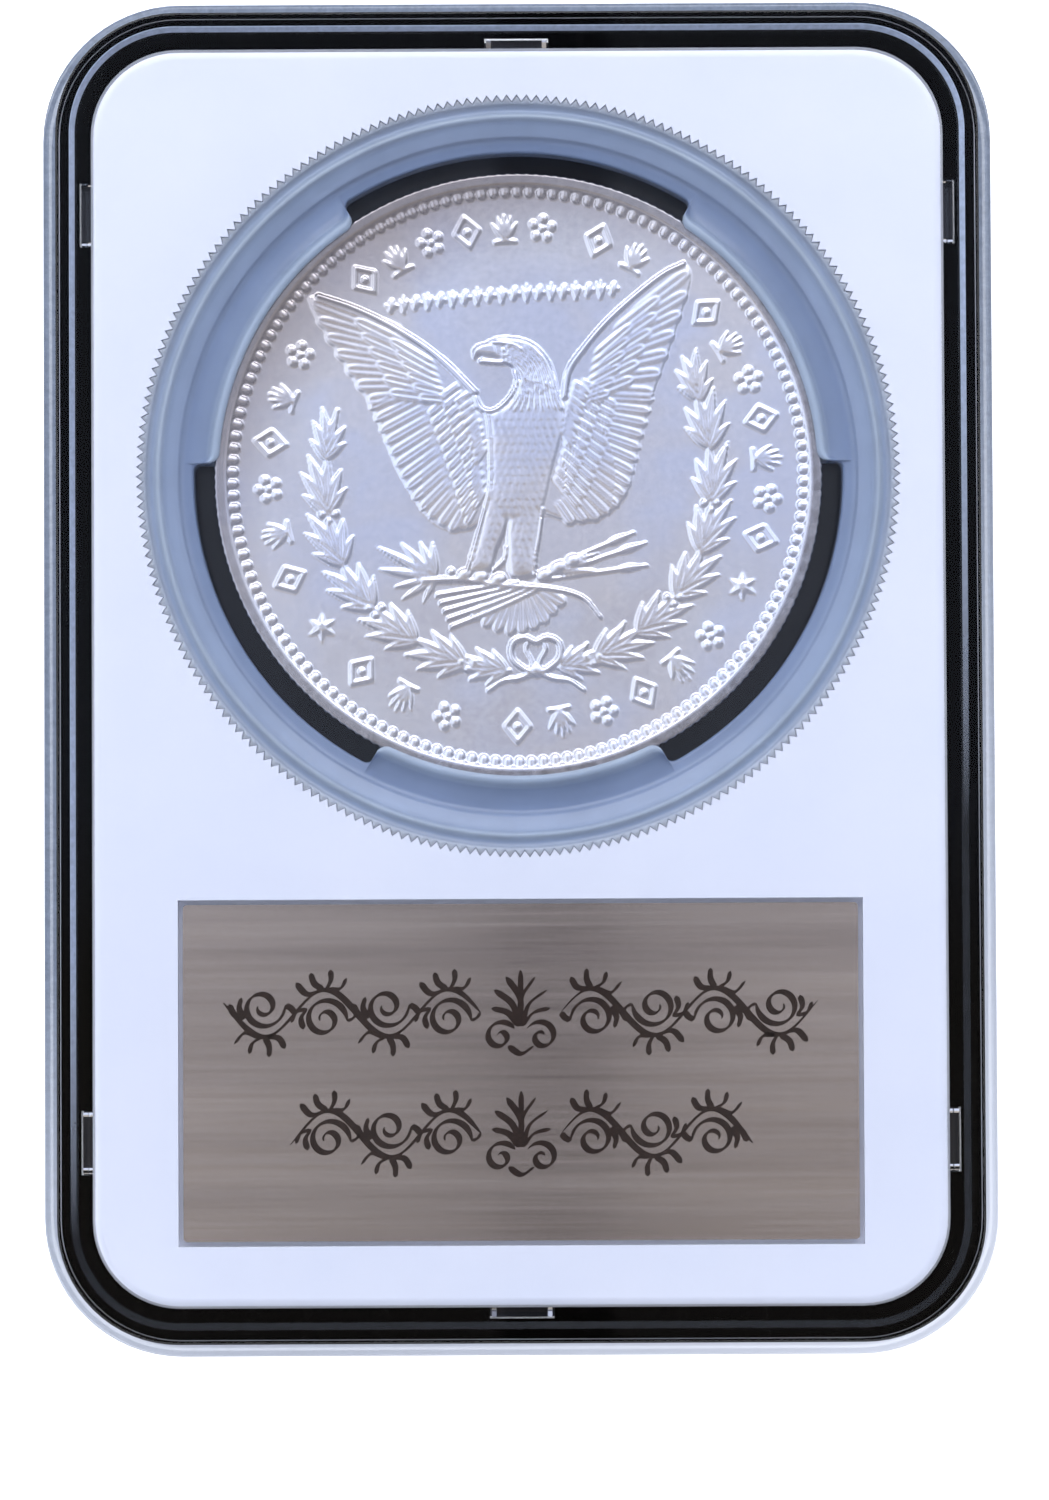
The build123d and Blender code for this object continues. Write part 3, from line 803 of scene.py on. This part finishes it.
class Nodes:
    """The node tree of a material or a world, with short calls for the nodes used here."""

    def __init__(self, block, coordinates):
        self.block = block
        block.use_nodes = True
        self.tree = block.node_tree
        self.tree.nodes.clear()
        self.place = self.add("ShaderNodeTexCoord").outputs[coordinates]

    def add(self, kind, sockets=None, **settings):
        """A new node. sockets gives its inputs by name or number: each a value or another's output."""
        node = self.tree.nodes.new(kind)
        for key, value in settings.items():
            setattr(node, key, value)
        for key, value in (sockets or {}).items():
            socket = node.inputs[key]
            if isinstance(value, bpy.types.NodeSocket):
                self.tree.links.new(value, socket)
            else:
                socket.default_value = (*value, 1) if socket.type == "RGBA" else value
        return node

    def noise(self, scale, detail, roughness, stretch=(1, 1, 1)):
        mapping = self.add("ShaderNodeMapping", {"Vector": self.place, "Scale": stretch})
        return self.add("ShaderNodeTexNoise", {"Vector": mapping.outputs[0], "Scale": scale, "Detail": detail,
                                               "Roughness": roughness}).outputs["Fac"]

    def axes(self):
        """The place or direction split into its three parts."""
        return self.add("ShaderNodeSeparateXYZ", {0: self.place}).outputs

    def vector(self, operation, first, second):
        return self.add("ShaderNodeVectorMath", {0: first, 1: second}, operation=operation).outputs

    def calculate(self, operation, first, second=0.0):
        return self.add("ShaderNodeMath", {0: first, 1: second}, operation=operation).outputs[0]

    def depth_inside(self, half_width, half_length, corner):
        """How far a place lies inside a rounded outline about the origin, in metres."""
        squares = []
        for value, half in zip(self.axes(), (half_width, half_length)):
            past = self.calculate("SUBTRACT", self.calculate("ABSOLUTE", value), (half - corner) * MM)
            past = self.calculate("MAXIMUM", past, 0.0)
            squares.append(self.calculate("MULTIPLY", past, past))
        reach = self.calculate("SQRT", self.calculate("ADD", squares[0], squares[1]))
        return self.calculate("SUBTRACT", corner * MM, reach)

    def spread(self, value, low, high, from_low=NOISE_LOW, from_high=NOISE_HIGH):
        """Runs from low to high while the value runs over its own range."""
        return self.add("ShaderNodeMapRange", {"Value": value, "From Min": from_low, "From Max": from_high,
                                               "To Min": low, "To Max": high}).outputs[0]

    def away(self, x, y, near, far, low=0, high=1):
        """Runs from low to high between two distances, in millimetres, from a point of the face."""
        flat = self.vector("MULTIPLY", self.place, (1, 1, 0))["Vector"]
        distance = self.vector("DISTANCE", flat, (x * MM, y * MM, 0))["Value"]
        return self.spread(distance, low, high, near * MM, far * MM)

    def ramp(self, value, stops, interpolation="LINEAR"):
        node = self.add("ShaderNodeValToRGB", {"Fac": value})
        ramp = node.color_ramp
        ramp.interpolation = interpolation
        while len(ramp.elements) < len(stops):
            ramp.elements.new(0.5)
        for element, (position, colour) in zip(ramp.elements, stops):
            element.position = position
            element.color = (*colour, 1)
        return node.outputs["Color"]

    def mottle(self, value, dark, light):
        """Runs from one colour to another over the middle of a noise."""
        return self.ramp(value, ((NOISE_LOW, dark), (NOISE_HIGH, light)))

    def bump(self, value, distance, strength, normal=None):
        sockets = {"Height": value, "Distance": distance, "Strength": strength}
        if normal is not None:
            sockets["Normal"] = normal
        return self.add("ShaderNodeBump", sockets).outputs["Normal"]

    def mix(self, factor, first, second, blend="MIX"):
        """Two colours mixed; inputs 6 and 7 and output 2 are the mix node's colour sockets."""
        return self.add("ShaderNodeMix", {"Factor": factor, 6: first, 7: second}, data_type="RGBA",
                        blend_type=blend).outputs[2]

    def principled(self, **values):
        sockets = {key.replace("_", " "): value for key, value in values.items()}
        return self.add("ShaderNodeBsdfPrincipled", sockets).outputs[0]

    def blend(self, share, first, second):
        return self.add("ShaderNodeMixShader", {0: share, 1: first, 2: second}).outputs[0]

    def finish(self, shader, kind="ShaderNodeOutputMaterial"):
        self.add(kind, {"Surface": shader})
        return self.block


def new_finish(name):
    return Nodes(bpy.data.materials.new(name), "Object")


def clear_plastic(name, frost_insets, frost_z, frost_share, painted_shade_tone):
    """Moulded clear acrylic with faint handling scratches; light passes through it to what it holds.
    A band between two insets from the slab's outline, above a height, is a frost whose colour is painted
    light.
    frost_share is how much of the band is frosted at the slab's upper left and, soon after, beyond it.
    painted_shade_tone is the frost's painted shade colour there; towards the lower right it turns to a
    painted near-white glow, where light that crosses the plastic would leave by its edges."""
    n = new_finish(name)
    scratches = n.noise(900, 3, 0.6, stretch=(1, 0.05, 1))
    ripple = n.noise(60, 2, 0.4)
    normal = n.bump(scratches, 0.0000008, 0.5, n.bump(ripple, 0.00001, 0.25))
    glass = n.principled(Base_Color=(0.985, 0.99, 1.0), Transmission_Weight=1.0, IOR=1.49,
                         Specular_Tint=(0.3, 0.3, 0.3), Roughness=n.spread(scratches, 0.0, 0.02, 0.45, 0.75),
                         Normal=normal)
    # Painted light: the frost's colour runs from painted shade near the slab's upper left corner to a painted
    # near-white glow towards the lower right
    far = n.away(SLAB_LOW.x, SLAB_HIGH.y, 60, 98)
    painted_shade_mottle = n.mottle(n.noise(2400, 4, 0.7), painted_shade_tone, tuple(1.5 * part for part in painted_shade_tone))
    frost = n.principled(Base_Color=n.mix(far, painted_shade_mottle, (0.93, 0.94, 0.96)), Roughness=0.5)
    depth = n.depth_inside(SLAB_HIGH.x, SLAB_HIGH.y, SLAB_CORNER)
    band = n.calculate("MULTIPLY", n.calculate("GREATER_THAN", depth, frost_insets[0] * MM),
                       n.calculate("LESS_THAN", depth, frost_insets[1] * MM))
    band = n.calculate("MULTIPLY", band, n.calculate("GREATER_THAN", n.axes()["Z"], frost_z * MM))
    # On the ridge the frost is a painted highlight band, kept to the slab's upper left
    share = n.calculate("MULTIPLY", band, n.spread(far, frost_share[0], frost_share[1], 0, 0.45))
    clear = n.add("ShaderNodeBsdfTransparent", {"Color": (0.97, 0.975, 0.98)})
    path = n.add("ShaderNodeLightPath")
    return n.finish(n.blend(path.outputs["Is Shadow Ray"], n.blend(share, glass, frost), clear.outputs[0]))


def insert_plastic():
    """Dense white moulded insert, very slightly cool, with a fine moulded grain."""
    n = new_finish("white_insert_plastic")
    grain = n.noise(5200, 3, 0.6)
    colour = n.mottle(n.noise(140, 3, 0.5), (0.825, 0.845, 0.925), (0.855, 0.868, 0.935))
    return n.finish(n.principled(Base_Color=colour, Roughness=n.spread(grain, 0.42, 0.56),
                                 Normal=n.bump(grain, 0.000012, 0.35)))


def ring_plastic():
    """Translucent frosted polymer of the coin ring: cool grey, soft gloss, with rings of painted light and
    shade across it.
    """
    n = new_finish("frosted_ring_polymer_painted_light")
    grain = n.noise(3800, 3, 0.6)
    cloudy = n.mottle(n.noise(260, 3, 0.5), (0.88, 0.88, 0.88), (1.0, 1.0, 1.0))
    # Painted light and shade by distance from the coin's centre: painted highlights on the prong lips and the
    # ridge, painted shade in the trough between them, and lighter teeth at the edge
    out = n.away(COIN_CENTRE.x, COIN_CENTRE.y, 18.5, 24)
    tone = n.ramp(out, ((0.04, (0.72, 0.84, 0.98)), (0.13, (0.72, 0.84, 0.98)), (0.20, (0.39, 0.50, 0.72)),
                        (0.42, (0.38, 0.49, 0.72)), (0.50, (0.54, 0.65, 0.86)), (0.66, (0.54, 0.66, 0.88)),
                        (0.73, (0.76, 0.87, 0.98)), (0.80, (0.54, 0.66, 0.88)), (0.885, (0.82, 0.88, 0.97)),
                        (0.93, (0.94, 0.96, 0.99))))
    colour = n.mix(1.0, tone, cloudy, "MULTIPLY")
    return n.finish(n.principled(Base_Color=colour, Roughness=n.spread(grain, 0.14, 0.22), IOR=1.53,
                                 Transmission_Weight=0.55, Normal=n.bump(grain, 0.00001, 0.3)))


def coin_metal():
    """Struck silver: bright relief, painted shade that darkens it brown over its upper left,
    grime on the rim with painted shade that deepens towards the lower right, and fine marks.
    """
    n = new_finish("struck_silver_painted_shade")
    tone = n.noise(170, 5, 0.6)
    fine = n.noise(2600, 4, 0.65)
    marks = n.noise(5200, 2, 0.5, stretch=(1, 0.12, 1))
    colour = n.ramp(tone, ((0.28, (0.76, 0.71, 0.70)), (0.5, (0.82, 0.785, 0.785)),
                           (0.75, (0.86, 0.84, 0.85))))
    cool = n.spread(n.noise(70, 3, 0.5), 0.0, 0.75, 0.42, 0.56)
    colour = n.mix(cool, colour, (0.77, 0.79, 0.91))
    warm = n.spread(n.noise(95, 3, 0.5, stretch=(1, 1.3, 1)), 0.0, 0.6, 0.5, 0.62)
    colour = n.mix(warm, colour, (0.86, 0.79, 0.74))
    # Painted shade: the coin turns a darker brown over its upper left
    painted_shade_upper_left = n.away(COIN_CENTRE.x + 4.0, COIN_CENTRE.y - 5.5, 19.5, 25.2, 0, 0.85)
    colour = n.mix(painted_shade_upper_left, colour, (0.40, 0.33, 0.29))
    # The rim is darkened by grime and by painted shade that deepens towards the lower right
    on_rim = n.away(COIN_CENTRE.x, COIN_CENTRE.y, 18.2, 18.5)
    shaded = n.away(COIN_CENTRE.x - 2, COIN_CENTRE.y + 2, 17, 20.5, 0.5, 0.95)
    grime = n.spread(n.noise(1500, 4, 0.7), 0.55, 1.0)
    rim_grime_and_shade = n.calculate("MULTIPLY", n.calculate("MULTIPLY", on_rim, shaded), grime)
    colour = n.mix(rim_grime_and_shade, colour, (0.27, 0.25, 0.25))
    normal = n.bump(fine, 0.0000012, 0.4, n.bump(marks, 0.000001, 0.4))
    return n.finish(n.principled(Base_Color=colour, Metallic=1.0, Roughness=n.spread(fine, 0.19, 0.27),
                                 Normal=normal))


def plaque_metal():
    """Brushed stainless plaque, brushed from left to right."""
    n = new_finish("brushed_plaque_steel")
    brush = n.noise(2600, 4, 0.7, stretch=(0.02, 1, 1))
    streak = n.noise(500, 3, 0.6, stretch=(0.03, 1, 1))
    tangent = n.add("ShaderNodeTangent", direction_type="RADIAL", axis="X")
    return n.finish(n.principled(Base_Color=n.mottle(streak, (0.42, 0.355, 0.315), (0.56, 0.48, 0.42)),
                                 Metallic=1.0, Roughness=n.spread(brush, 0.13, 0.2), Anisotropic=0.95,
                                 Normal=n.bump(brush, 0.000002, 0.5), Tangent=tangent.outputs[0]))


def grained(name, scale, dark, light, roughness, bump=None, stretch=(1, 1, 1), **values):
    """A plain material with a grain: two colours, a range of roughness and sometimes a bump."""
    n = new_finish(name)
    grain = n.noise(scale, 4, 0.6, stretch)
    if bump is not None:
        values["Normal"] = n.bump(grain, *bump)
    return n.finish(n.principled(Base_Color=n.mottle(grain, dark, light),
                                 Roughness=n.spread(grain, *roughness), **values))


# ---------------------------------------------------------------- the object

plaque_steel = plaque_metal()
adhesive_film = grained("adhesive_film", 1800, (0.62, 0.60, 0.54), (0.70, 0.68, 0.62), (0.5, 0.7),
                        (0.00001, 0.4), (1, 0.3, 1))
dark_oxide = grained("engraved_dark_oxide", 4200, (0.016, 0.008, 0.005), (0.034, 0.018, 0.012), (0.45, 0.65),
                     (0.00001, 0.5), Specular_IOR_Level=0.2)
FINISHES = {
    # The ledge frost is painted shade at the upper left and a painted near-white glow at the lower right; the
    # ridge frost is a painted highlight band along the upper left
    "front_shell": clear_plastic("clear_plastic_ledge_painted_light", (-1, LEDGE_WIDTH),
                                 LEDGE_Z - LEDGE_FROST_DEPTH, (0.85, 0.85), (0.20, 0.23, 0.28)),
    "reverse_shell": clear_plastic("clear_plastic_ridge_painted_highlight", RIDGE_SLOPE,
                                   SLAB_HIGH.z - RIDGE_FROST_DEPTH, (0.85, 0.0), (0.36, 0.41, 0.51)),
    "insert": insert_plastic(),
    "reverse_plaque": plaque_steel,
    "reverse_plaque_adhesive": adhesive_film,
    "front_plaque": plaque_steel,
    "front_plaque_adhesive": adhesive_film,
}
for node_name, finish in FINISHES.items():
    mesh = NODES[node_name].data
    mesh.materials.clear()
    mesh.materials.append(finish)

build_coin(coin_metal())
build_ring(ring_plastic())
build_engraving("reverse_plaque_ornament", "reverse_plaque", 1, dark_oxide)
build_engraving("front_plaque_ornament", "front_plaque", -1, dark_oxide)


# ---------------------------------------------------------------- studio

def rounded_outline(low, high, radius):
    """Corners of a rectangle with rounded corners, between two opposite ones."""
    steps = 10
    points = []
    for cx, cy, start in ((high.x - radius, high.y - radius, 0), (low.x + radius, high.y - radius, 90),
                          (low.x + radius, low.y + radius, 180), (high.x - radius, low.y + radius, 270)):
        for step in range(steps + 1):
            a = math.radians(start + 90 * step / steps)
            points.append((cx + radius * math.cos(a), cy + radius * math.sin(a)))
    return points


def stage_sheet(name, outline, level, material):
    """A flat sheet of the studio, which isn't part of the object."""
    mesh = bpy.data.meshes.new(name)
    mesh.from_pydata([(x * MM, y * MM, level * MM) for x, y in outline], [], [tuple(range(len(outline)))])
    sheet = bpy.data.objects.new(name, mesh)
    bpy.context.scene.collection.objects.link(sheet)
    mesh.materials.append(material)


FLOOR_REACH = 900
FLOOR_DROP = 0.12
MAT_DROP = 0.02
MAT_CORNER = 8.3
MAT_INSET = Vector((0.3, 0.3, 0))
studio_paper = grained("studio_floor", 900, (0.93, 0.93, 0.93), (0.95, 0.95, 0.95), (0.7, 0.8),
                       Emission_Color=(1.0, 1.0, 1.0), Emission_Strength=0.9)
mat_cloth = grained("dark_mat", 1500, (0.011, 0.011, 0.014), (0.019, 0.019, 0.024), (0.7, 0.9),
                    Specular_IOR_Level=0.15)
floor_outline = [(x * FLOOR_REACH, y * FLOOR_REACH) for x, y in ((-1, -1), (1, -1), (1, 1), (-1, 1))]
stage_sheet("floor", floor_outline, SLAB_LOW.z - FLOOR_DROP, studio_paper)
mat_outline = rounded_outline(SLAB_LOW + MAT_INSET, SLAB_HIGH - MAT_INSET, MAT_CORNER)
stage_sheet("mat", mat_outline, SLAB_LOW.z - MAT_DROP, mat_cloth)


def area_light(name, place, target, size, power, colour):
    data = bpy.data.lights.new(name, "AREA")
    data.shape = "RECTANGLE"
    data.size, data.size_y = size
    data.energy = power
    data.color = colour
    light = bpy.data.objects.new(name, data)
    light.location = place
    light.rotation_mode = "QUATERNION"
    light.rotation_quaternion = (Vector(target) - Vector(place)).to_track_quat("-Z", "Y")
    bpy.context.scene.collection.objects.link(light)


area_light("top_softbox", (0.0, 0.36, 0.34), (0, 0.01, 0), (0.6, 0.24), 0.8, (1.0, 0.99, 1.06))


# World light by direction: X runs across the slab, Y along it, Z straight up
SKY_STRENGTH = 1.625
KEY_DIRECTION = (-0.45, 0.89, 0.0)
sky = Nodes(bpy.data.worlds.new("studio"), "Generated")
bpy.context.scene.world = sky.block


def sky_ramp(value, low, high, stops):
    """Colour over the range low to high of a direction's part."""
    return sky.ramp(sky.spread(value, 0, 1, low, high), stops, "EASE")


across, along, upward = sky.axes()
toward_key = sky.vector("DOT_PRODUCT", sky.place, KEY_DIRECTION)["Value"]
wide = sky_ramp(toward_key, -1, 1, ((0.0, (0.24, 0.25, 0.30)), (0.30, (0.21, 0.225, 0.27)),
                                    (0.44, (0.48, 0.53, 0.65)), (0.56, (0.66, 0.74, 0.92)),
                                    (0.70, (0.71, 0.79, 0.95)), (1.0, (0.58, 0.64, 0.77))))
overhead = sky_ramp(across, -0.10, 0.10, ((0.0, (0.41, 0.40, 0.39)), (0.34, (0.32, 0.315, 0.31)),
                                          (0.47, (0.30, 0.29, 0.285)), (0.49, (0.125, 0.12, 0.12)),
                                          (0.575, (0.125, 0.12, 0.12)), (0.60, (0.33, 0.32, 0.31)),
                                          (1.0, (0.375, 0.365, 0.355))))
tint = sky_ramp(along, -0.03, 0.015, ((0.0, (0.78, 0.75, 0.73)), (1.0, (1.07, 1.21, 1.58))))
near_top = sky_ramp(upward, 0.90, 0.995, ((0.0, (0, 0, 0)), (1.0, (1, 1, 1))))
light = sky.mix(near_top, wide, sky.mix(1.0, overhead, tint, "MULTIPLY"))
background = sky.add("ShaderNodeBackground", {"Color": light, "Strength": SKY_STRENGTH})
sky.finish(background.outputs[0], "ShaderNodeOutputWorld")

# Camera: its height over the frame's origin and how far it stands back, the height of the view at the
# slab's upper face, its roll, and its lens's shift as shares of the view
CAMERA_HEIGHT = 0.3335
CAMERA_BACK = -0.0108
VIEW_HEIGHT = 0.09287
ROLL_DEG = -0.27
LENS_SHIFT = (0.003, -0.05033333)
SENSOR = 36
face_height = SLAB_HIGH.z * MM
rise = CAMERA_HEIGHT - face_height
camera_data = bpy.data.cameras.new("camera")
camera_data.sensor_width = SENSOR
camera_data.sensor_fit = "AUTO"
camera_data.clip_start = 0.01
camera_data.clip_end = 20
camera_data.lens = SENSOR * rise / VIEW_HEIGHT
camera_data.shift_x, camera_data.shift_y = LENS_SHIFT
camera = bpy.data.objects.new("camera", camera_data)
camera.location = Vector((0, 0, face_height)) + Vector((0, CAMERA_BACK, rise))
camera.rotation_mode = "XYZ"
camera.rotation_euler = (math.atan2(-CAMERA_BACK, rise), 0, math.radians(ROLL_DEG))
bpy.context.scene.collection.objects.link(camera)
bpy.context.scene.camera = camera

bpy.context.scene.view_settings.view_transform = "Standard"
